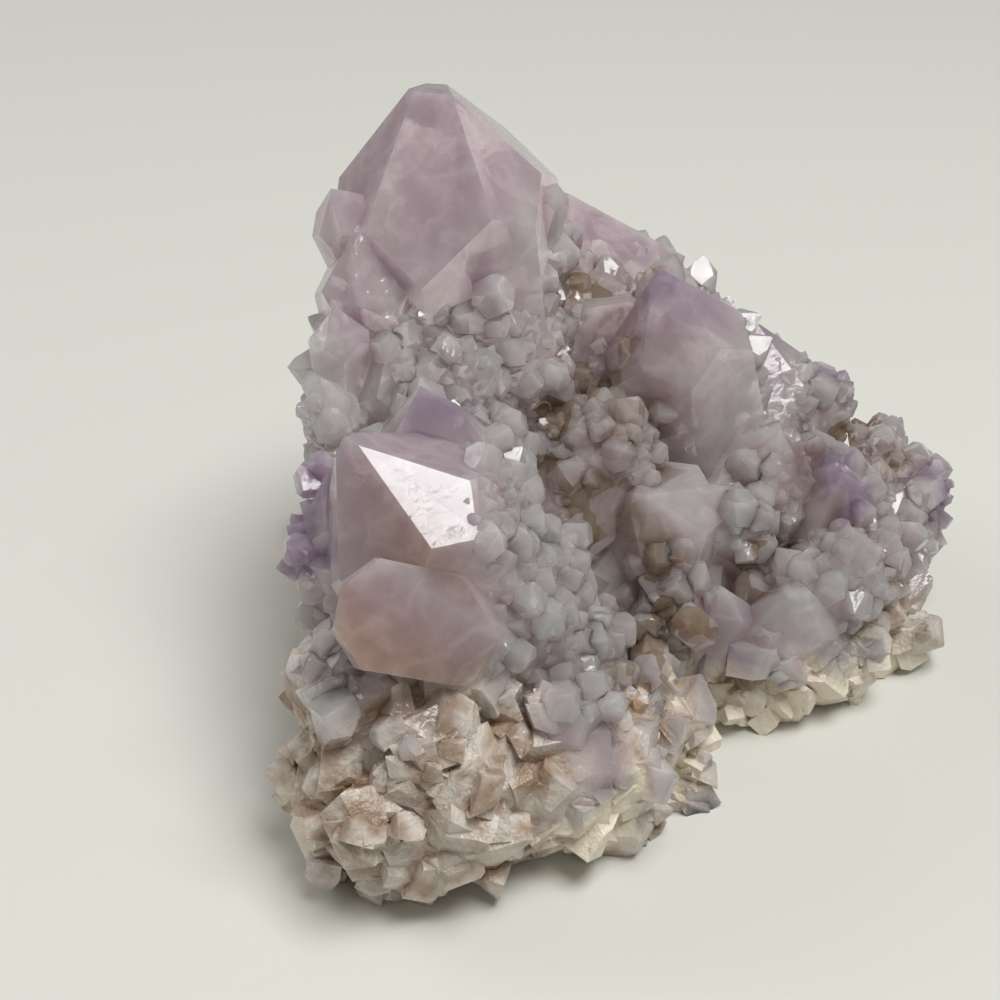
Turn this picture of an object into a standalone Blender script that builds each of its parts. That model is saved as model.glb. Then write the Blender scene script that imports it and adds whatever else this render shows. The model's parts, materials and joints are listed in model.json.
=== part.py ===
"""Spirit quartz cluster: one natural piece of pale amethyst points, grown together on broken milky quartz.

Blender 4.5 script, metres, +Z up, -Y is the side with the large points in view. Sizes below are in millimetres.
The whole piece is one solid, because every crystal has grown through its neighbours.
"""

import math
import random
from collections import namedtuple

import bmesh
import bpy
from mathutils import Matrix, Vector
from mathutils.bvhtree import BVHTree

MM = 0.001
PIECE_NAME = "quartz_cluster"
SEED = 41

# Quartz ends in rhombohedral faces that lie this far from the long axis of the crystal.
FACE_LEAN = math.radians(38.2)
SIDES = 6

# tip: where the point ends. points: the way it grew. width: across the side faces. length: tip to hidden root.
# turn: degrees about its own axis, where 0 sets a face towards -Y. slant: how much deeper that face cuts than the
# others, as a share of the width. blunt: how much of the tip is broken off.
Crystal = namedtuple("Crystal", "name tip points width length turn slant blunt", defaults=(0, 0, 0))
Rock = namedtuple("Rock", "name centre size turn", defaults=((0, 0, 0),))
# Small crystals or broken lumps that cover what lies within a radius of a point, leaning towards a direction
Patch = namedtuple("Patch", "name centre radius count small large leaning")

CRYSTALS = (
    # The tall point at the back: a wide head with a broken tip on a narrower stem, and the teeth at its shoulders
    Crystal("crown", (-21.3, 22, 88.5), (-0.13, -0.06, 1), 31.5, 42, -10, 0, 2.3),
    Crystal("crown_stem", (-17, 22, 70), (-0.04, -0.02, 1), 31, 66, -10),
    Crystal("crown_left_tooth", (-33.3, 15, 75.2), (-0.3, -0.25, 1), 9, 16, 35),
    Crystal("crown_right_tooth", (-3.6, 19, 74.6), (0.2, -0.2, 1), 4.5, 12, 10),
    Crystal("crown_front_tooth", (-12, 8.5, 63.5), (0.1, -0.35, 1), 6, 14, 25),
    Crystal("left_shelf", (-30, 13, 71), (-0.16, -0.04, 1), 15, 50, 25),
    Crystal("left_column", (-32.6, 5, 63), (-0.06, -0.04, 1), 8.5, 45, 12),
    Crystal("left_column_low", (-34.2, 0, 55), (-0.2, -0.1, 1), 6.5, 30, 40),
    Crystal("collar_left", (-25, 4, 59.5), (-0.1, -0.2, 1), 12, 45, 5),
    Crystal("collar_middle", (-18, 5, 59.5), (0, -0.25, 1), 13, 45, 22),
    Crystal("collar_right", (-10.5, 10, 58.5), (0.12, -0.25, 1), 10, 45, 8),
    Crystal("collar_end", (-5, 15, 59), (0.25, -0.15, 1), 9.5, 45, 30),
    # The large points on the left flank
    Crystal("back_flank_point", (-20.5, -8, 58.8), (-0.1, -0.02, 1), 21, 48, 24, 0.1),
    Crystal("bright_point", (-29.8, -19, 58), (-0.52, -0.08, 0.84), 25, 52, -12),
    Crystal("low_point", (-28.3, -41.3, 49.4), (-0.51, -0.6, 0.61), 14.6, 40, 52, 0.8),
    Crystal("low_point_band", (-19, -36, 34.5), (-0.35, -0.7, 0.5), 11, 30, 20, 0.2),
    Crystal("edge_point", (-32.3, -15, 51), (-0.3, -0.05, 1), 11.5, 40, 18),
    Crystal("edge_low_point", (-37.8, -16, 42.5), (-0.7, -0.1, 0.7), 9, 26, 40),
    Crystal("edge_bead", (-35.5, -8.3, 48.8), (-0.5, -0.1, 0.8), 5.4, 12, 0, 0, 1),
    # The long point behind, its narrow purple face in view
    Crystal("rear_point", (-20.7, 43.5, 57.2), (-0.88, 0, 0.47), 23.5, 36, 30),
    Crystal("rear_end_point", (15.2, 46, 49.5), (-0.1, 0.05, 0.9), 15, 36, 30, 0.1),
    # The hidden back and left sides, where shorter points fan outwards
    Crystal("rear_low_point", (9, 56, 33), (0.2, 0.85, 0.5), 18, 36, 20),
    Crystal("rear_middle_point", (-8, 56.5, 22), (-0.1, 0.95, 0.25), 19, 34, 5),
    Crystal("rear_left_point", (-20, 51, 40), (-0.5, 0.75, 0.45), 20, 38, 10),
    Crystal("rear_far_left_point", (-31, 45, 20), (-0.7, 0.65, 0.3), 19, 34, 25),
    Crystal("left_high_point", (-33, 35, 48), (-0.6, 0.4, 0.65), 15, 34, 0),
    Crystal("left_middle_point", (-34, 24, 29), (-0.9, 0.25, 0.35), 17, 28, 20),
    Crystal("left_low_point", (-34.5, 6, 22), (-0.9, 0, 0.4), 13, 24, 10),
    Crystal("left_back_point", (-37, 16, 40), (-0.85, 0.1, 0.5), 13, 24, 0),
    Crystal("left_back_low_point", (-37, 36, 14), (-0.85, 0.3, 0.2), 16, 24, 10),
    Crystal("left_foot_point", (-36.5, -5, 13), (-0.9, -0.1, 0.25), 14, 22, 30),
    Crystal("left_foot_back_point", (-37.5, 11, 9), (-0.9, 0.05, 0.15), 13, 22, 15),
    Crystal("rear_right_point", (23, 51, 17), (0.3, 0.85, 0.25), 15, 30, 12),
    # The right lobe
    Crystal("lobe_crest", (11, 22, 60.3), (-0.26, -0.1, 1), 21.5, 48, 6),
    Crystal("lobe_back", (26, 36, 45), (-0.2, 0.1, 1), 19, 40, 15),
    Crystal("lobe_back_step", (36.6, 36, 37), (0.2, 0.1, 1), 13, 30, 40),
    Crystal("lobe_dark_tip", (43, 34, 35.2), (0.75, 0.05, 0.66), 12, 30, 0),
    Crystal("lobe_ridge", (29, 12, 40.5), (0.1, -0.25, 1), 15, 30, 34),
    Crystal("lobe_shoulder", (38.5, 10, 34.5), (0.15, -0.5, 0.8), 16, 32, 24),
    Crystal("lobe_pale", (8, 0, 37.5), (-0.35, -0.5, 0.75), 18, 34, 14),
    Crystal("lobe_gable", (23.5, 4, 35.2), (0.1, -0.3, 1), 11, 26, 30),
    Crystal("lobe_smoky_low", (14, -4, 27), (-0.1, -0.4, 1), 11, 22, 10),
    Crystal("lobe_column", (20.3, -3.5, 24.5), (-0.03, -0.16, 1), 9.3, 22, 15),
    Crystal("lobe_round", (31.2, -3.5, 25.5), (0.05, -0.3, 0.9), 14.2, 22, 4, 0, 1.5),
    Crystal("lobe_front_right", (40, 2, 29), (0.12, -0.3, 1), 11, 24, 20),
    Crystal("lobe_far_front", (47, 8, 25.5), (0.4, -0.35, 0.9), 10.5, 22, 5),
    Crystal("lobe_far_end", (57.6, 24, 23.6), (0.75, -0.05, 0.7), 12.5, 28, 12),
    Crystal("lobe_far_low", (54.5, 24, 13.5), (0.85, -0.1, 0.4), 12, 26, 25),
    Crystal("lobe_far_back", (51.5, 35, 28.5), (0.5, 0.2, 0.85), 10, 24, 0),
    Crystal("lobe_far_back_low", (56, 32, 24), (0.8, 0.25, 0.55), 9, 22, 20),
    Crystal("lobe_rear_point", (32, 52, 26), (0.25, 0.8, 0.55), 16, 32, 0),
    # The front block
    Crystal("block_tooth", (-4.6, -31.5, 28.5), (-0.45, -0.3, 0.9), 9.5, 22, 15),
    Crystal("block_milky_point", (1.5, -32, 24), (-0.05, -0.35, 0.8), 15, 26, 0, 0.2),
    Crystal("block_side_point", (9, -23, 19.5), (0.5, -0.3, 0.75), 11, 22, 30),
)

ROCKS = (
    Rock("foot_left", (-21.5, -26.5, 14), (24, 31, 31), (0, 0, 4)),
    Rock("foot_left_column", (-31.5, -31, 11), (8, 16, 24), (0, 2, 10)),
    Rock("foot_left_shoulder", (-30, -29, 25), (10, 14, 15), (8, 6, 24)),
    Rock("rear_left_block", (-26, 36, 10), (20, 24, 22), (0, 4, 35)),
    Rock("foot_front", (-9, -25, 11), (23, 25, 24), (0, 0, 10)),
    Rock("foot_milky", (1.5, -21, 11.5), (14, 19, 20), (0, 0, 28)),
    Rock("foot_milky_drop", (1, -29, 9.5), (10, 9, 15), (0, 8, 24)),
    Rock("foot_yellow_top", (11, -17.5, 12), (9, 11, 10), (10, 0, 30)),
    Rock("foot_yellow_low", (13, -14, 5.5), (8, 13, 12), (0, 0, 20)),
    Rock("heart_left", (-17, 3, 20), (34, 50, 44), (0, 0, 10)),
    Rock("heart_back", (-12, 31, 18), (34, 32, 40), (0, 0, 0)),
    Rock("heart_middle", (8, 16, 14), (40, 42, 32), (0, 0, 0)),
    Rock("heart_right", (32, 19, 10.5), (36, 30, 25), (0, 0, -12)),
    Rock("valley_back", (-1, 30, 38), (20, 20, 34), (0, 0, 20)),
    Rock("valley_front", (1, 13, 33), (20, 24, 20), (-14, 0, 10)),
    Rock("lobe_base_front", (32, 2, 7), (24, 12, 13), (0, 0, 6)),
    Rock("lobe_base_side", (43, 15, 7.5), (14, 16, 12), (0, -6, 30)),
)

PATCHES = (
    # Small points: the valley, the flank of the bright point, the collar and the backs of the large points
    Patch("valley_top", (2, 24, 55), 11, 14, 3.6, 6.5, (0.3, -0.5, 0.8)),
    Patch("valley", (1, 12, 42), 10, 10, 3.2, 6, (0, -0.5, 0.8)),
    Patch("valley_middle", (4, 2, 35), 8, 7, 3.2, 6, (0, -0.5, 0.8)),
    Patch("valley_low", (11, -9, 24), 9, 9, 3.0, 6, (0.3, -0.5, 0.7)),
    Patch("collar", (-8, 6, 52), 9, 8, 3.2, 6, (0.1, -0.6, 0.8)),
    Patch("flank_top", (-8, -14, 46), 12, 17, 3.0, 5.5, (-0.35, -0.5, 0.8)),
    Patch("flank_middle", (-3, -22, 36), 11, 17, 3.0, 6, (-0.1, -0.7, 0.7)),
    Patch("flank_low", (4, -22, 26), 9, 13, 3.2, 6, (0.2, -0.7, 0.6)),
    Patch("flank_back", (-11, -2, 50), 10, 8, 3.0, 5.5, (0.2, -0.4, 0.9)),
    Patch("rear_face", (5, 33, 54), 10, 12, 3.2, 6, (0.2, -0.5, 0.8)),
    Patch("crest_side", (20, 28, 42), 8, 6, 3.2, 6, (0.6, -0.4, 0.8)),
    Patch("lobe_top", (38, 24, 30), 12, 10, 3.5, 6.5, (0.2, -0.4, 0.9)),
    Patch("lobe_front", (38, 6, 22), 11, 9, 3.2, 6, (0.2, -0.7, 0.6)),
    Patch("lobe_end", (50, 24, 14), 12, 9, 3.4, 7, (0.6, -0.2, 0.6)),
    Patch("lobe_rear", (40, 42, 16), 14, 7, 5, 8.5, (0.3, 0.8, 0.4)),
    Patch("rear", (0, 50, 24), 18, 7, 5.5, 9.5, (0, 0.9, 0.35)),
    Patch("left_back", (-29, 30, 26), 20, 6, 5.5, 9.5, (-0.9, 0.2, 0.4)),
    Patch("left_side", (-31, -3, 22), 18, 6, 5.5, 8.5, (-0.9, 0, 0.45)),
)

LUMPS = (
    # Broken lumps: the foot on its front, left and right sides, and the cream quartz under the right lobe
    Patch("foot_front_face", (-16, -38, 14), 15, 16, 5, 11, (0, -1, 0.2)),
    Patch("foot_left_face", (-34, -28, 15), 16, 9, 4, 7.5, (-1, -0.3, 0.2)),
    Patch("foot_right_face", (10, -22, 8), 11, 7, 4, 8, (0.8, -0.5, 0.1)),
    Patch("foot_crest", (-16, -37, 23), 8, 7, 3.5, 7, (0, -0.7, 0.7)),
    Patch("lobe_base_face", (34, -3, 6), 14, 10, 3.6, 7.5, (0.2, -1, 0)),
    Patch("lobe_base_end", (47, 13, 6), 11, 7, 4, 8, (0.8, -0.4, 0)),
    Patch("rear_base", (8, 44, 8), 24, 9, 7, 13, (0, 1, 0)),
    Patch("left_base", (-34, 16, 10), 28, 8, 7, 12, (-1, 0, 0)),
)


def frame_of(axis, turn):
    """The matrix that stands a crystal along axis, with one side face towards -Y at a turn of 0."""
    up = Vector(axis).normalized()
    front = Vector((0, -1, 0))
    front = (front - up * front.dot(up)).normalized()
    side = up.cross(front)
    upright = Matrix((front, side, up)).transposed().to_4x4()
    return upright @ Matrix.Rotation(math.radians(turn), 4, "Z")


def cut(bm, point, normal):
    """Takes away what lies beyond a plane and closes the cut with one flat face."""
    everything = bm.verts[:] + bm.edges[:] + bm.faces[:]
    done = bmesh.ops.bisect_plane(bm, geom=everything, plane_co=point, plane_no=normal, clear_outer=True)
    rim = [edge for edge in done["geom_cut"] if isinstance(edge, bmesh.types.BMEdge)]
    if rim:
        bmesh.ops.contextual_create(bm, geom=rim)


def crystal_mesh(crystal, rng):
    """A six-sided prism, cut to a point by three large faces and three smaller ones."""
    bm = bmesh.new()
    corner_radius = crystal.width / 2 / math.cos(math.pi / SIDES)
    overlap = crystal.width
    bmesh.ops.create_cone(
        bm,
        cap_ends=True,
        segments=SIDES,
        radius1=corner_radius * 0.92,
        radius2=corner_radius,
        depth=crystal.length + overlap,
    )
    bmesh.ops.rotate(bm, verts=bm.verts, matrix=Matrix.Rotation(math.pi / SIDES, 3, "Z"))
    bmesh.ops.translate(bm, verts=bm.verts, vec=(0, 0, (overlap - crystal.length) / 2))
    bmesh.ops.scale(bm, verts=bm.verts, vec=(rng.uniform(0.92, 1.04), rng.uniform(0.95, 1.06), 1))
    for side in range(SIDES):
        around = math.tau * side / SIDES
        held_back = rng.uniform(0.02, 0.1) if side % 2 else rng.uniform(0, 0.03)
        if side == 0:
            held_back = -crystal.slant
        normal = Vector((math.cos(around), math.sin(around), math.tan(FACE_LEAN)))
        cut(bm, Vector((0, 0, held_back * crystal.width)), normal)
    if crystal.blunt:
        cut(bm, Vector((0, 0, -crystal.blunt)), Vector((-0.3, 0.12, 1)))
    bm.transform(Matrix.Translation(crystal.tip) @ frame_of(crystal.points, crystal.turn))
    return bm


def rock_mesh(rock, rng, breaks=18):
    """A block of broken quartz: a box with its edges and corners knocked off along flat breaks."""
    bm = bmesh.new()
    bmesh.ops.create_cube(bm, size=1)
    for _ in range(breaks):
        normal = Vector([rng.gauss(0, 1) for _ in range(3)]).normalized()
        cut(bm, normal * rng.uniform(0.45, 0.56), normal)
    bmesh.ops.scale(bm, verts=bm.verts, vec=rock.size)
    turn = [math.radians(angle) for angle in rock.turn]
    spin = Matrix.Rotation(turn[2], 4, "Z") @ Matrix.Rotation(turn[1], 4, "Y") @ Matrix.Rotation(turn[0], 4, "X")
    bm.transform(Matrix.Translation(rock.centre) @ spin)
    return bm


def random_way(rng):
    return Vector([rng.gauss(0, 1) for _ in range(3)]).normalized()


def spots_on(surface, patch, rng):
    """Places on the surface within the patch, no two of them close together, each with the way out of the surface."""
    found = []
    for _ in range(patch.count * 30):
        if len(found) == patch.count:
            break
        start = Vector(patch.centre) + random_way(rng) * patch.radius * rng.random() ** 0.5
        spot, outward, _, gap = surface.find_nearest(start)
        if gap > patch.radius * 0.6 or spot.z < 1 or outward.dot(Vector(patch.leaning)) < -0.3:
            continue
        room = (patch.small + patch.large) / 2 * 0.7
        if all((spot - other).length > room for other, _ in found):
            found.append((spot, outward))
    return found


def small_crystal(patch, spot, outward, rng):
    width = rng.uniform(patch.small, patch.large)
    points = outward * 0.8 + Vector(patch.leaning).normalized() * 0.8 + random_way(rng) * 0.25
    stands_out = width * rng.uniform(0.15, 0.5)
    tip = spot + points.normalized() * stands_out
    return Crystal(patch.name, tip, points, width, stands_out + width * 0.8, rng.uniform(0, 60))


def small_lump(patch, spot, outward, rng):
    size = [rng.uniform(patch.small, patch.large) for _ in range(3)]
    turn = [rng.uniform(-30, 30) for _ in range(3)]
    return Rock(patch.name, spot - outward * min(size) * 0.3, size, turn)


def add_object(name, bm, collection):
    """A closed body with its faces turned outwards."""
    bmesh.ops.recalc_face_normals(bm, faces=bm.faces)
    if bm.calc_volume(signed=True) < 0:
        bmesh.ops.reverse_faces(bm, faces=bm.faces)
    bm.transform(Matrix.Scale(MM, 4))
    mesh = bpy.data.meshes.new(name)
    bm.to_mesh(mesh)
    bm.free()
    made = bpy.data.objects.new(name, mesh)
    collection.objects.link(made)
    return made


def surface_of(made):
    """The outer surface of the large bodies, in millimetres, for the small crystals to stand on."""
    corners = []
    faces = []
    for each in made:
        first = len(corners)
        corners += [vertex.co / MM for vertex in each.data.vertices]
        faces += [[first + index for index in face.vertices] for face in each.data.polygons]
    return BVHTree.FromPolygons(corners, faces)


def chance_for(name):
    """A fixed run of chance for each named thing, so that one can change without changing the others."""
    return random.Random(f"{SEED} {name}")


def grow_bodies(grown):
    """Every crystal and every broken block as a body of its own."""
    large = [add_object(rock.name, rock_mesh(rock, chance_for(rock.name)), grown) for rock in ROCKS]
    for crystal in CRYSTALS:
        large.append(add_object(crystal.name, crystal_mesh(crystal, chance_for(crystal.name)), grown))
    surface = surface_of(large)
    for patch in PATCHES:
        rng = chance_for(patch.name)
        for spot, outward in spots_on(surface, patch, rng):
            add_object(patch.name, crystal_mesh(small_crystal(patch, spot, outward, rng), rng), grown)
    for patch in LUMPS:
        rng = chance_for(patch.name)
        for spot, outward in spots_on(surface, patch, rng):
            add_object(patch.name, rock_mesh(small_lump(patch, spot, outward, rng), rng, breaks=6), grown)


def grow_together(grown):
    """The bodies as one solid: the first of them, with all the others united into it."""
    bodies = list(grown.objects)
    others = bpy.data.collections.new("others")
    for body in bodies[1:]:
        others.objects.link(body)
    union = bodies[0].modifiers.new("grown_together", "BOOLEAN")
    union.operation = "UNION"
    union.operand_type = "COLLECTION"
    union.collection = others
    union.solver = "EXACT"
    evaluated = bodies[0].evaluated_get(bpy.context.evaluated_depsgraph_get())
    bm = bmesh.new()
    bm.from_mesh(evaluated.to_mesh())
    evaluated.to_mesh_clear()
    for body in bodies:
        bpy.data.objects.remove(body)
    bpy.data.collections.remove(others)
    bpy.data.collections.remove(grown)
    return bm


def shells(bm):
    """The connected shells of a mesh, each as a set of corners."""
    waiting = set(bm.verts)
    found = []
    while waiting:
        shell = set()
        edge_of_search = [waiting.pop()]
        while edge_of_search:
            corner = edge_of_search.pop()
            shell.add(corner)
            for edge in corner.link_edges:
                other = edge.other_vert(corner)
                if other in waiting:
                    waiting.remove(other)
                    edge_of_search.append(other)
        found.append(shell)
    return sorted(found, key=len)


def main():
    for leftover in list(bpy.data.objects):
        bpy.data.objects.remove(leftover)
    grown = bpy.data.collections.new("grown_together")
    bpy.context.scene.collection.children.link(grown)
    grow_bodies(grown)
    bm = grow_together(grown)

    # The cut face that the piece stands on, and the small hollows inside closed
    cut(bm, Vector((0, 0, 0)), Vector((0, 0, -1)))
    for hollow in shells(bm)[:-1]:
        bmesh.ops.delete(bm, geom=list(hollow), context="VERTS")

    # The middle of the footprint becomes the origin
    across = [corner.co.x for corner in bm.verts]
    deep = [corner.co.y for corner in bm.verts]
    middle = Vector(((min(across) + max(across)) / 2, (min(deep) + max(deep)) / 2, 0))
    bmesh.ops.translate(bm, verts=bm.verts, vec=-middle)
    mesh = bpy.data.meshes.new(PIECE_NAME)
    bm.to_mesh(mesh)
    bm.free()

    quartz = bpy.data.materials.new("pale_amethyst_quartz")
    quartz.use_nodes = True
    shader = quartz.node_tree.nodes["Principled BSDF"]
    shader.inputs["Base Color"].default_value = (0.42, 0.35, 0.42, 1)
    shader.inputs["Roughness"].default_value = 0.25
    shader.inputs["IOR"].default_value = 1.544
    mesh.materials.append(quartz)

    collection = bpy.data.collections.new("spirit_quartz_cluster")
    bpy.context.scene.collection.children.link(collection)
    collection.objects.link(bpy.data.objects.new(PIECE_NAME, mesh))


main()
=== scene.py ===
import json
import math
import random

import bmesh
import bpy
from mathutils import Matrix, Vector

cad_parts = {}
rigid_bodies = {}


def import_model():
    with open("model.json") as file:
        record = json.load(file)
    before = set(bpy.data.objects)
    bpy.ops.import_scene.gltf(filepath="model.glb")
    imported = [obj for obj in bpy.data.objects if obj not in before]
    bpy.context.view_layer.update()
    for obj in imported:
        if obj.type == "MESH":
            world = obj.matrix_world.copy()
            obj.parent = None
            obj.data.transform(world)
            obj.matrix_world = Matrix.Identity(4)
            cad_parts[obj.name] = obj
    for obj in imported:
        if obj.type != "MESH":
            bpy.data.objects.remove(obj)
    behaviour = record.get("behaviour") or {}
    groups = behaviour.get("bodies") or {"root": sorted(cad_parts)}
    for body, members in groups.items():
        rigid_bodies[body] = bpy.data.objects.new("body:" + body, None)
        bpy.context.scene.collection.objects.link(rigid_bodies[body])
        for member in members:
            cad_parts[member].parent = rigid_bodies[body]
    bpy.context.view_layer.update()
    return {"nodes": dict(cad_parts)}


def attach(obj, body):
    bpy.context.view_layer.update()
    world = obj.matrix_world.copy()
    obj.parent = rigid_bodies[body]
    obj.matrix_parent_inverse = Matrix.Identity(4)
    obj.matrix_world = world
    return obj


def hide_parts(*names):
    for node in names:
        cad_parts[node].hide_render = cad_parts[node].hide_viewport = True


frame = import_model()


# The cluster: amethyst points up to 32 mm wide, grown through each other from a broken milky quartz base. The large
# points and blocks are the source's own solid. Its faces are copied, and the coats of small crystals grow on them.
MM = 0.001
FOOTPRINT_MIDDLE = Vector((8.09, 6.48, 0))


def spot(x, y, z):
    """A place on the cluster, measured in millimetres from where the camera aims, in the part's own metres."""
    return (Vector((x, y, z)) - FOOTPRINT_MIDDLE) * MM


def add_node(tree, kind, inputs=None, **settings):
    """Adds a node with its settings. Each input takes a value, or the output that feeds it."""
    made = tree.nodes.new(kind)
    for name, value in settings.items():
        setattr(made, name, value)
    for socket, value in (inputs or {}).items():
        if isinstance(value, bpy.types.NodeSocket):
            tree.links.new(value, made.inputs[socket])
        else:
            made.inputs[socket].default_value = value
    return made


def nearness(tree, position, places):
    """1 within each of the places and 0 outside them all. A place is x, y, z and a radius, in millimetres.

    It falls off softly, from a little inside the radius to a little outside it.
    """
    fades_from, fades_to = 0.85, 1.12
    most = None
    for x, y, z, radius in places:
        apart = add_node(tree, "ShaderNodeVectorMath", {0: position, 1: spot(x, y, z)}, operation="DISTANCE")
        near = add_node(
            tree,
            "ShaderNodeMapRange",
            {
                "Value": apart.outputs["Value"],
                "From Min": radius * fades_to * MM,
                "From Max": radius * fades_from * MM,
                "To Min": 0.0,
                "To Max": 1.0,
            },
            interpolation_type="SMOOTHSTEP",
        ).outputs[0]
        if most is not None:
            near = add_node(tree, "ShaderNodeMath", {0: most, 1: near}, operation="MAXIMUM").outputs[0]
        most = near
    return most


body_mesh = frame["nodes"]["quartz_cluster"].data.copy()
body = bmesh.new()
body.from_mesh(body_mesh)
bmesh.ops.remove_doubles(body, verts=body.verts, dist=1e-7)
body.to_mesh(body_mesh)
body.free()
body_mesh.materials.clear()
body_mesh.attributes.remove(body_mesh.attributes["custom_normal"])
cluster = bpy.data.objects.new("cluster", body_mesh)
bpy.context.scene.collection.objects.link(cluster)


# The coat crystals: stubby quartz points 1 to 6 mm wide that cover the flanks of the large points, and the sugary
# broken grains on the base. Each kind is cut once and then strewn, and all of them are united with the cluster.
# Quartz's end faces stand at 38.2 degrees to the crystal's long axis.
FACE_LEAN = math.radians(38.2)


def cut_away(bm, point, normal):
    """Cuts off what lies beyond a plane and closes the cut with one flat face."""
    everything = bm.verts[:] + bm.edges[:] + bm.faces[:]
    done = bmesh.ops.bisect_plane(bm, geom=everything, plane_co=point, plane_no=normal, clear_outer=True)
    rim = [edge for edge in done["geom_cut"] if isinstance(edge, bmesh.types.BMEdge)]
    if rim:
        bmesh.ops.contextual_create(bm, geom=rim)


def coat_crystal(chance):
    """One point, 1 unit wide, most of it sunk, so that little more than its tip stands out."""
    stands_out = chance.uniform(0.3, 0.7)
    foot_radius, top_radius = 0.46, 0.56
    bm = bmesh.new()
    bmesh.ops.create_cone(bm, cap_ends=True, segments=6, radius1=foot_radius, radius2=top_radius, depth=3)
    bmesh.ops.scale(bm, verts=bm.verts, vec=(chance.uniform(0.85, 1.05), chance.uniform(0.9, 1.1), 1))
    for side in range(6):
        around = math.tau * (side + 0.5) / 6
        held_back = chance.uniform(0.05, 0.25) if side % 2 else chance.uniform(0, 0.08)
        normal = Vector((math.cos(around), math.sin(around), math.tan(FACE_LEAN)))
        cut_away(bm, Vector((0, 0, stands_out + held_back)), normal)
    cut_away(bm, Vector((0, 0, -0.5)), Vector((0, 0, -1)))
    return bm


def broken_grain(chance):
    """One grain, about 1 unit across, with its edges knocked off along flat breaks."""
    bm = bmesh.new()
    bmesh.ops.create_cube(bm, size=1)
    for _ in range(7):
        normal = Vector([chance.gauss(0, 1) for _ in range(3)]).normalized()
        cut_away(bm, normal * chance.uniform(0.4, 0.52), normal)
    bmesh.ops.scale(bm, verts=bm.verts, vec=[chance.uniform(0.8, 1.3), chance.uniform(0.8, 1.3), 0.8])
    bmesh.ops.translate(bm, verts=bm.verts, vec=(0, 0, chance.uniform(-0.36, -0.2)))
    return bm


def kinds_of(name, shape, count):
    """A collection of different shapes of one kind, for the coats to pick from."""
    collection = bpy.data.collections.new(name)
    chance = random.Random(name)
    for number in range(count):
        bm = shape(chance)
        bmesh.ops.recalc_face_normals(bm, faces=bm.faces)
        mesh = bpy.data.meshes.new(f"{name}_{number}")
        bm.to_mesh(mesh)
        bm.free()
        collection.objects.link(bpy.data.objects.new(mesh.name, mesh))
    return collection


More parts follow.
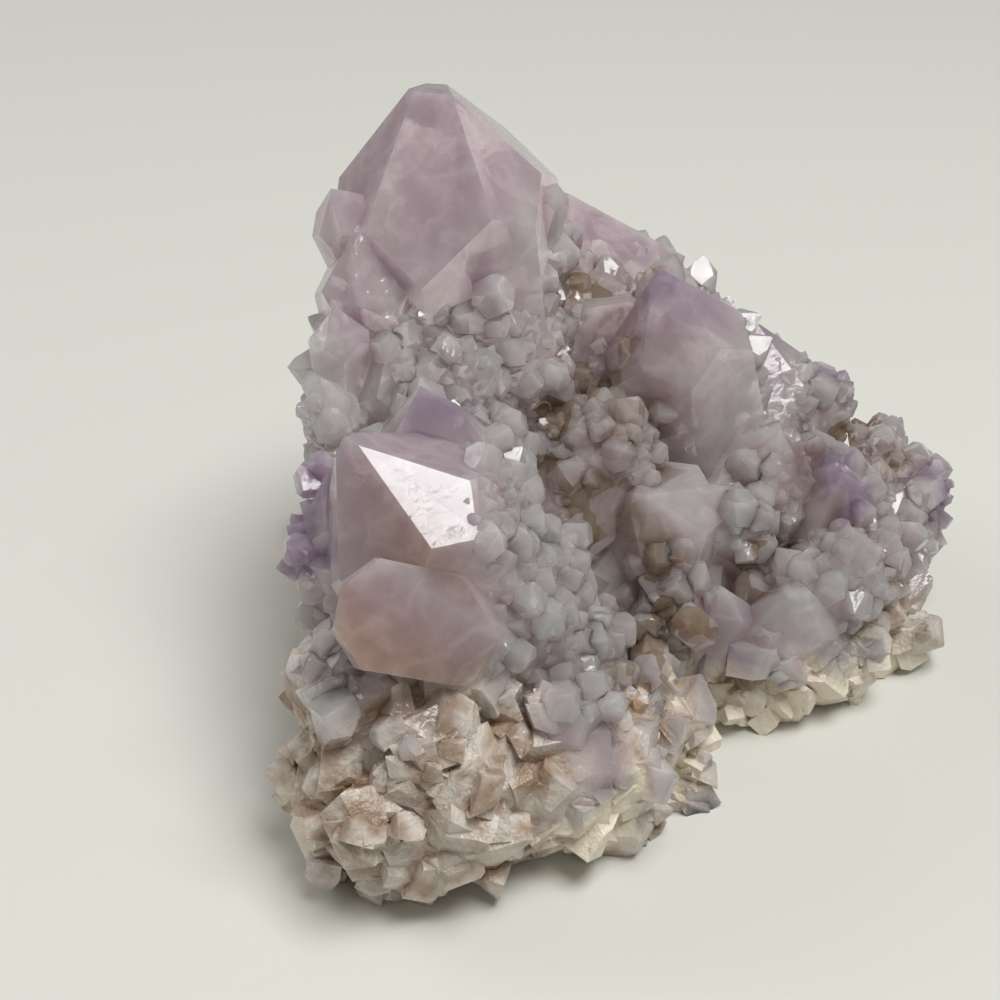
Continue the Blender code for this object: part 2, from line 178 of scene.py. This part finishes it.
def coat_tree(name, kinds, places, bare):
    """Strews one kind over the places and leaves the bare places free. Where they fade, chance decides."""
    most_per_square_metre = 1.2e6
    tree = bpy.data.node_groups.new(name, "GeometryNodeTree")
    sockets = tree.interface
    sockets.new_socket("Geometry", in_out="OUTPUT", socket_type="NodeSocketGeometry")
    sockets.new_socket("Geometry", in_out="INPUT", socket_type="NodeSocketGeometry")
    for label in ("Spacing", "Smallest", "Largest", "Scatter"):
        sockets.new_socket(label, in_out="INPUT", socket_type="NodeSocketFloat")
    sockets.new_socket("Lean", in_out="INPUT", socket_type="NodeSocketVector")
    sockets.new_socket("Seed", in_out="INPUT", socket_type="NodeSocketInt")
    sockets.new_socket("Finish", in_out="INPUT", socket_type="NodeSocketMaterial")
    given = add_node(tree, "NodeGroupInput").outputs

    strewn = add_node(
        tree,
        "GeometryNodeDistributePointsOnFaces",
        {
            "Mesh": given["Geometry"],
            "Distance Min": given["Spacing"],
            "Density Max": most_per_square_metre,
            "Seed": given["Seed"],
        },
        distribute_method="POISSON",
    ).outputs
    position = add_node(tree, "GeometryNodeInputPosition").outputs[0]
    wanted = nearness(tree, position, places)
    free = nearness(tree, position, bare)
    left = add_node(tree, "ShaderNodeMath", {0: wanted, 1: free}, operation="SUBTRACT").outputs[0]
    roll = add_node(tree, "FunctionNodeRandomValue", {2: 0.15, 3: 0.85, "Seed": 7}, data_type="FLOAT").outputs[1]
    gone = add_node(tree, "FunctionNodeCompare", {0: left, 1: roll}, operation="LESS_THAN").outputs[0]
    points = add_node(
        tree, "GeometryNodeDeleteGeometry", {"Geometry": strewn["Points"], "Selection": gone}, domain="POINT"
    ).outputs[0]

    # The way that each crystal points: outwards from the surface, with the lean of its neighbours and some chance
    any_way = add_node(
        tree, "FunctionNodeRandomValue", {0: (-1, -1, -1), 1: (1, 1, 1), "Seed": 3}, data_type="FLOAT_VECTOR"
    ).outputs[0]
    strayed = add_node(
        tree, "ShaderNodeVectorMath", {0: any_way, "Scale": given["Scatter"]}, operation="SCALE"
    ).outputs[0]
    leaning = add_node(tree, "ShaderNodeVectorMath", {0: strayed, 1: given["Lean"]}, operation="ADD").outputs[0]
    points_to = add_node(
        tree, "ShaderNodeVectorMath", {0: strewn["Normal"], 1: leaning}, operation="ADD"
    ).outputs[0]
    turned = add_node(tree, "FunctionNodeRandomValue", {2: 0.0, 3: math.tau, "Seed": 5}, data_type="FLOAT").outputs[1]
    twist = add_node(tree, "ShaderNodeCombineXYZ", {"Z": turned}).outputs[0]
    rotation = add_node(
        tree,
        "FunctionNodeAlignRotationToVector",
        {"Rotation": add_node(tree, "FunctionNodeEulerToRotation", {0: twist}).outputs[0], "Vector": points_to},
        axis="Z",
    ).outputs[0]
    size = add_node(
        tree,
        "FunctionNodeRandomValue",
        {2: given["Smallest"], 3: given["Largest"], "Seed": 11},
        data_type="FLOAT",
    ).outputs[1]
    kind = add_node(tree, "FunctionNodeRandomValue", {4: 0, 5: 99, "Seed": 13}, data_type="INT").outputs[2]
    shapes = add_node(
        tree, "GeometryNodeCollectionInfo", {"Collection": kinds, "Separate Children": True, "Reset Children": True}
    ).outputs[0]
    standing = add_node(
        tree,
        "GeometryNodeInstanceOnPoints",
        {
            "Points": points,
            "Instance": shapes,
            "Pick Instance": True,
            "Instance Index": kind,
            "Rotation": rotation,
            "Scale": size,
        },
    ).outputs[0]
    solid = add_node(tree, "GeometryNodeRealizeInstances", {"Geometry": standing}).outputs[0]
    finished = add_node(
        tree, "GeometryNodeSetMaterial", {"Geometry": solid, "Material": given["Finish"]}
    ).outputs[0]
    add_node(tree, "NodeGroupOutput", {0: finished})
    return tree


coats = bpy.data.collections.new("coats")
bpy.context.scene.collection.children.link(coats)


def grow_coat(name, tree, finish, **values):
    """Grows one coat on the bare cluster, as a mesh of its own to be united with it."""
    coat = cluster.modifiers.new(name, "NODES")
    coat.node_group = tree
    for item in tree.interface.items_tree:
        if item.in_out == "INPUT" and item.name in values:
            coat[item.identifier] = values[item.name]
        if item.in_out == "INPUT" and item.name == "Finish":
            coat[item.identifier] = finish
    evaluated = cluster.evaluated_get(bpy.context.evaluated_depsgraph_get())
    grown = bpy.data.meshes.new_from_object(evaluated)
    cluster.modifiers.remove(coat)
    coats.objects.link(bpy.data.objects.new(name, grown))


quartz = bpy.data.materials.new("pale_amethyst_quartz")

LARGE_FACES = (
    # Faces of the large points that no small crystal grows on
    (-21, 20, 78, 17), (-20, 18, 70, 14), (-26, -19, 50, 13), (-19, -35, 41, 11), (-25, -39, 44, 9),
    (11, 19, 53, 10.5), (-11, 43, 56, 12), (2, 45, 50, 12), (7, -3, 34, 7.5), (31, -6, 20, 6), (20.5, -5, 18, 5),
    (26, 33, 40, 7), (-31, 8, 62, 6), (-18, -9, 53, 7), (38, 10, 32, 6), (1.5, -33, 20, 6),
)
DRUSE = (
    # The coat of fine points: the collar, the flank of the bright point, the valley and the back of the saddle
    (-15, 4, 54, 12), (-8, -14, 46, 15), (-3, -22, 36, 14), (4, -22, 26, 11), (-11, -2, 50, 10), (2, 24, 55, 13),
    (1, 12, 42, 12), (4, 2, 35, 9), (11, -9, 24, 10), (5, 33, 54, 11), (20, 28, 42, 9), (38, 24, 30, 16),
    (38, 6, 22, 14), (50, 22, 16, 15), (26, 8, 30, 9),
)
HIDDEN_SIDES = ((-36, 12, 30, 26), (-20, 50, 26, 26), (14, 56, 24, 26), (42, 46, 16, 20), (-36, -8, 30, 20))
BASE = (
    # The broken quartz that the points grew from
    (-18, -34, 12, 20), (-30, -28, 14, 18), (0, -26, 8, 14), (10, -16, 6, 12), (34, 0, 3, 12), (24, -4, 3, 10),
    (46, 10, 3, 13), (56, 26, 3, 12), (-36, 10, 2, 16), (-30, 36, 2, 18), (0, 54, 2, 22), (36, 50, 2, 20),
)
points = kinds_of("coat_point", coat_crystal, 6)
grains = kinds_of("broken_grain", broken_grain, 6)
grow_coat(
    "middle_points", coat_tree("middle_points", points, DRUSE + HIDDEN_SIDES, LARGE_FACES), quartz,
    Spacing=3.2 * MM, Smallest=2.6 * MM, Largest=6.2 * MM, Scatter=0.25, Lean=(-0.05, -0.4, 0.7), Seed=2,
)
grow_coat(
    "grains", coat_tree("grains", grains, BASE, LARGE_FACES), quartz,
    Spacing=2.8 * MM, Smallest=1.6 * MM, Largest=6.5 * MM, Scatter=0.5, Lean=(0, 0, 0), Seed=4,
)
grow_coat(
    "fine_points", coat_tree("fine_points", points, DRUSE, LARGE_FACES), quartz,
    Spacing=2.2 * MM, Smallest=1.2 * MM, Largest=2.4 * MM, Scatter=0.3, Lean=(-0.05, -0.4, 0.7), Seed=6,
)

# All the coats are united with the cluster in one step. A block then cuts off what hangs below the flat cut face
cluster.data.materials.append(quartz)
BLOCK = 0.4
below = bmesh.new()
bmesh.ops.create_cube(below, size=BLOCK, matrix=Matrix.Translation((0, 0, -BLOCK / 2)))
below_mesh = bpy.data.meshes.new("below")
below.to_mesh(below_mesh)
below.free()
below_the_cut = bpy.data.objects.new("below_the_cut", below_mesh)
bpy.context.scene.collection.objects.link(below_the_cut)
for name, operation in (("united", "UNION"), ("level", "DIFFERENCE")):
    joining = cluster.modifiers.new(name, "BOOLEAN")
    joining.operation = operation
    joining.solver = "MANIFOLD"
cluster.modifiers["united"].operand_type = "COLLECTION"
cluster.modifiers["united"].collection = coats
cluster.modifiers["level"].object = below_the_cut
united = bpy.data.meshes.new_from_object(cluster.evaluated_get(bpy.context.evaluated_depsgraph_get()))
cluster.modifiers.clear()
cluster.data = united
for grown in list(coats.objects) + list(points.objects) + list(grains.objects) + [below_the_cut]:
    bpy.data.objects.remove(grown)
for emptied in (coats, points, grains):
    bpy.data.collections.remove(emptied)


# Natural quartz, IOR 1.544, grown and partly broken: glassy faces over a milky lilac inside, smoky brown in the
# valleys, where painted shade darkens them too, and cream, granular and stained by iron at the base. The colour is in
# the body, so light spreads inside it.
# Each part of the cluster that has its own look is kept on the mesh as a named value from 0 to 1.
PARTS = {
    "violet": (
        (-21, 43, 58, 9), (-12, 42, 59, 7), (-20, -10, 58, 6), (-37, -16, 42, 7), (-33, -15, 50, 6),
        (43, 34, 36, 5), (38, 12, 34, 6), (20, -6, 24, 3.5), (11, 22, 60, 5), (26, 36, 46, 5), (57, 24, 24, 6),
    ),
    # Smoky brown quartz in the valleys and recesses between the points, darkened there also as painted shade
    "smoky": (
        (2, 24, 52, 12), (1, 12, 40, 12), (5, 2, 30, 10), (12, -9, 22, 10), (9, -20, 20, 7), (-14, -33, 29, 6),
        (30, 14, 28, 9), (48, 8, 18, 8), (-10, -36, 16, 8), (26, 4, 22, 7), (44, 30, 22, 9),
    ),
    "rosy": ((-19, -36, 42, 11), (-24, -39, 45, 10)),
    "base": BASE,
    "cream": ((3, -33, 10, 7), (12, -14, 7, 10), (-33, -33, 8, 7), (34, -4, 2, 10), (44, 4, 2, 9), (22, -8, 3, 6)),
    "smooth": LARGE_FACES,
}
tree = bpy.data.node_groups.new("parts", "GeometryNodeTree")
tree.interface.new_socket("Geometry", in_out="OUTPUT", socket_type="NodeSocketGeometry")
tree.interface.new_socket("Geometry", in_out="INPUT", socket_type="NodeSocketGeometry")
shape = add_node(tree, "NodeGroupInput").outputs[0]
position = add_node(tree, "GeometryNodeInputPosition").outputs[0]
wander = add_node(tree, "ShaderNodeTexNoise", {"Vector": position, "Scale": 140.0, "Detail": 3.0}).outputs["Color"]
wander = add_node(tree, "ShaderNodeVectorMath", {0: wander, 1: (0.5, 0.5, 0.5)}, operation="SUBTRACT").outputs[0]
EDGES_WANDER = 16 * MM
strayed = add_node(
    tree, "ShaderNodeVectorMath", {0: wander, 1: (EDGES_WANDER,) * 3, 2: position}, operation="MULTIPLY_ADD"
).outputs[0]
for name, places in PARTS.items():
    part = nearness(tree, strayed, places)
    shape = add_node(
        tree, "GeometryNodeStoreNamedAttribute", {"Geometry": shape, "Name": name, "Value": part}, data_type="FLOAT"
    ).outputs[0]
shape = add_node(tree, "GeometryNodeSetMaterial", {"Geometry": shape, "Material": quartz}).outputs[0]
add_node(tree, "NodeGroupOutput", {0: shape})
cluster.modifiers.new("parts", "NODES").node_group = tree
parted = bpy.data.meshes.new_from_object(cluster.evaluated_get(bpy.context.evaluated_depsgraph_get()))
cluster.modifiers.clear()
parted.shade_flat()
cluster.data = parted


def colour(code):
    """An sRGB hex colour as linear values."""
    parts = [int(code[at : at + 2], 16) / 255 for at in (1, 3, 5)]
    return [part / 12.92 if part <= 0.04045 else ((part + 0.055) / 1.055) ** 2.4 for part in parts] + [1]


QUARTZ_IOR = 1.544
LIGHT_SPREADS = 9 * MM
quartz.use_nodes = True
tree = quartz.node_tree
tree.nodes.clear()
here = add_node(tree, "ShaderNodeTexCoord").outputs["Object"]
in_mm = add_node(tree, "ShaderNodeVectorMath", {0: here, "Scale": 1000.0}, operation="SCALE").outputs[0]
wander = add_node(tree, "ShaderNodeTexNoise", {"Vector": in_mm, "Scale": 0.14, "Detail": 2.0}).outputs["Color"]
wander = add_node(tree, "ShaderNodeVectorMath", {0: wander, 1: (0.5, 0.5, 0.5)}, operation="SUBTRACT").outputs[0]
violet_part, smoky_and_shaded_part, rosy_part, base_part, cream_part, smooth_part = [
    add_node(tree, "ShaderNodeAttribute", attribute_name=name).outputs["Fac"] for name in PARTS
]

# The body colour drifts in clouds. Growth cells some 5 mm across are each a little more smoky or clear
cloud = add_node(tree, "ShaderNodeTexNoise", {"Vector": in_mm, "Scale": 0.11, "Detail": 3.0}).outputs["Fac"]
cloud = add_node(tree, "ShaderNodeMapRange", {"Value": cloud, 1: 0.35, 2: 0.65}).outputs[0]
bent = add_node(
    tree, "ShaderNodeVectorMath", {0: wander, 1: (5.0, 5.0, 5.0), 2: in_mm}, operation="MULTIPLY_ADD"
).outputs[0]
cell = add_node(tree, "ShaderNodeTexVoronoi", {"Vector": bent, "Scale": 0.2}).outputs["Color"]
cell = add_node(tree, "ShaderNodeSeparateColor", {0: cell}).outputs
# The smoky part is partly the quartz's own smoky brown and partly painted shade in the valleys and recesses
smoke_and_shade = add_node(tree, "ShaderNodeMapRange", {"Value": cell[0], 1: 0.45, 2: 0.75, 3: 0.35, 4: 1.0}).outputs[0]
smoke_and_shade = add_node(tree, "ShaderNodeMath", {0: smoke_and_shade, 1: smoky_and_shaded_part}, operation="MULTIPLY").outputs[0]
body_colour = add_node(
    tree, "ShaderNodeMix", {0: cloud, 6: colour("#faf0f0"), 7: colour("#ecdce1")}, data_type="RGBA"
).outputs[2]
for part, code in ((smooth_part, "#d9c6cf"), (violet_part, "#b39fb6"), (rosy_part, "#bc9c8e"), (smoke_and_shade, "#a99079")):
    body_colour = add_node(
        tree, "ShaderNodeMix", {0: part, 6: body_colour, 7: colour(code)}, data_type="RGBA"
    ).outputs[2]
stain = add_node(tree, "ShaderNodeTexNoise", {"Vector": in_mm, "Scale": 0.22, "Detail": 3.0}).outputs["Fac"]
stain = add_node(tree, "ShaderNodeMapRange", {"Value": stain, 1: 0.4, 2: 0.62}).outputs[0]
base_colour = add_node(
    tree, "ShaderNodeMix", {0: stain, 6: colour("#d8cec3"), 7: colour("#a0866f")}, data_type="RGBA"
).outputs[2]
base_colour = add_node(
    tree, "ShaderNodeMix", {0: cream_part, 6: base_colour, 7: colour("#eadfc9")}, data_type="RGBA"
).outputs[2]
body_colour = add_node(
    tree, "ShaderNodeMix", {0: base_part, 6: body_colour, 7: base_colour}, data_type="RGBA"
).outputs[2]

# Healed cracks are thin white veils that let less light through
veil = add_node(
    tree, "ShaderNodeTexNoise", {"Vector": bent, "Scale": 0.12, "Detail": 3.0, "Roughness": 0.5}
).outputs["Fac"]
veil = add_node(tree, "ShaderNodeMath", {0: veil, 1: 0.5}, operation="SUBTRACT").outputs[0]
veil = add_node(tree, "ShaderNodeMath", {0: veil}, operation="ABSOLUTE").outputs[0]
veil = add_node(tree, "ShaderNodeMapRange", {"Value": veil, 1: 0.0, 2: 0.09, 3: 0.12, 4: 0.0}).outputs[0]
body_colour = add_node(
    tree, "ShaderNodeMix", {0: veil, 6: body_colour, 7: colour("#f2eff0")}, data_type="RGBA"
).outputs[2]
milky = add_node(tree, "ShaderNodeMath", {0: base_part, 1: veil}, operation="MAXIMUM").outputs[0]
clear = add_node(tree, "ShaderNodeMapRange", {"Value": milky, 1: 0.0, 2: 1.0, 3: 0.6, 4: 0.06}).outputs[0]
spread = add_node(tree, "ShaderNodeMapRange", {"Value": base_part, 1: 0.0, 2: 1.0, 3: 1.0, 4: 0.1}).outputs[0]
rough = add_node(tree, "ShaderNodeMapRange", {"Value": milky, 1: 0.0, 2: 1.0, 3: 0.1, 4: 0.4}).outputs[0]

# Relief: growth cells 2 mm across that tip each face a little and break up its reflection, and the grain of the base
cells = add_node(tree, "ShaderNodeTexVoronoi", {"Vector": in_mm, "Scale": 0.55}).outputs
tilt = add_node(
    tree, "ShaderNodeVectorMath", {0: cells["Color"], 1: (0.5, 0.5, 0.5)}, operation="SUBTRACT"
).outputs[0]
along = add_node(tree, "ShaderNodeVectorMath", {0: in_mm, 1: cells["Position"]}, operation="SUBTRACT").outputs[0]
slope = add_node(tree, "ShaderNodeVectorMath", {0: tilt, 1: along}, operation="DOT_PRODUCT").outputs["Value"]
height = add_node(tree, "ShaderNodeMath", {0: slope, 1: 0.05}, operation="MULTIPLY").outputs[0]
grain = add_node(
    tree, "ShaderNodeTexNoise", {"Vector": in_mm, "Scale": 0.9, "Detail": 2.0, "Roughness": 0.6}
).outputs["Fac"]
grain_depth = add_node(tree, "ShaderNodeMapRange", {"Value": milky, 1: 0.0, 2: 1.0, 3: 0.05, 4: 0.5}).outputs[0]
height = add_node(
    tree, "ShaderNodeMath", {0: grain, 1: grain_depth, 2: height}, operation="MULTIPLY_ADD"
).outputs[0]
relief = add_node(tree, "ShaderNodeBump", {"Height": height, "Strength": 1.0, "Distance": MM}).outputs[0]
shader = add_node(
    tree,
    "ShaderNodeBsdfPrincipled",
    {
        "Base Color": body_colour,
        "Roughness": rough,
        "IOR": QUARTZ_IOR,
        "Transmission Weight": clear,
        "Subsurface Weight": spread,
        "Subsurface Radius": (1.0, 0.9, 0.97),
        "Subsurface Scale": LIGHT_SPREADS,
        "Normal": relief,
    },
)
add_node(tree, "ShaderNodeOutputMaterial", {0: shader.outputs[0]})

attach(cluster, "root")
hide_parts("quartz_cluster")


# The room: a plain pale floor, a soft light overhead and a weaker one from the left, and the camera where the photo
# was taken, 35 degrees above the floor and turned by 1 degree.
CAMERA_ABOVE, CAMERA_ROLL, FIELD_OF_VIEW = math.radians(35), math.radians(1), math.radians(30)
CAMERA_AT = spot(-10.5, -210, 183.1)
SENSOR_WIDTH = 36
floor_mesh = bpy.data.meshes.new("floor")
sheet = bmesh.new()
bmesh.ops.create_grid(sheet, x_segments=1, y_segments=1, size=2.5)
sheet.to_mesh(floor_mesh)
sheet.free()
floor = bpy.data.objects.new("floor", floor_mesh)
bpy.context.scene.collection.objects.link(floor)
paper = bpy.data.materials.new("pale_matt_floor")
paper.use_nodes = True
paper.node_tree.nodes["Principled BSDF"].inputs["Base Color"].default_value = colour("#d6d6cf")
paper.node_tree.nodes["Principled BSDF"].inputs["Roughness"].default_value = 0.6
floor_mesh.materials.append(paper)


def soft_light(name, place, aim, width, depth, watts):
    """A soft box at a place, turned to its aim, both in metres."""
    lamp = bpy.data.lights.new(name, "AREA")
    lamp.shape = "RECTANGLE"
    lamp.size = width
    lamp.size_y = depth
    lamp.energy = watts
    lit = bpy.data.objects.new(name, lamp)
    turned = (Vector(place) - Vector(aim)).to_track_quat("Z", "Y").to_matrix().to_4x4()
    lit.matrix_world = Matrix.Translation(place) @ turned
    bpy.context.scene.collection.objects.link(lit)


CLUSTER_MIDDLE = (0, 0, 0.04)
soft_light("overhead", (0.22, -0.18, 0.9), CLUSTER_MIDDLE, width=0.5, depth=0.4, watts=7.6)
soft_light("left", (-0.9, 0.3, 0.6), CLUSTER_MIDDLE, width=0.6, depth=0.6, watts=3)
world = bpy.data.worlds.new("studio")
bpy.context.scene.world = world
world.use_nodes = True
world.node_tree.nodes["Background"].inputs[0].default_value = colour("#e8e5de")
world.node_tree.nodes["Background"].inputs[1].default_value = 0.3

camera_data = bpy.data.cameras.new("camera")
camera_data.sensor_width = SENSOR_WIDTH
camera_data.lens = SENSOR_WIDTH / 2 / math.tan(FIELD_OF_VIEW / 2)
camera_data.clip_start = 0.01
camera = bpy.data.objects.new("camera", camera_data)
camera.matrix_world = (
    Matrix.Translation(CAMERA_AT)
    @ Matrix.Rotation(math.radians(90) - CAMERA_ABOVE, 4, "X")
    @ Matrix.Rotation(CAMERA_ROLL, 4, "Z")
)
bpy.context.scene.collection.objects.link(camera)
bpy.context.scene.camera = camera
bpy.context.scene.view_settings.view_transform = "Standard"
# Two more bounces of each would lighten the quartz by only about 1% and take a third longer
bpy.context.scene.cycles.max_bounces = 5
bpy.context.scene.cycles.transmission_bounces = 4
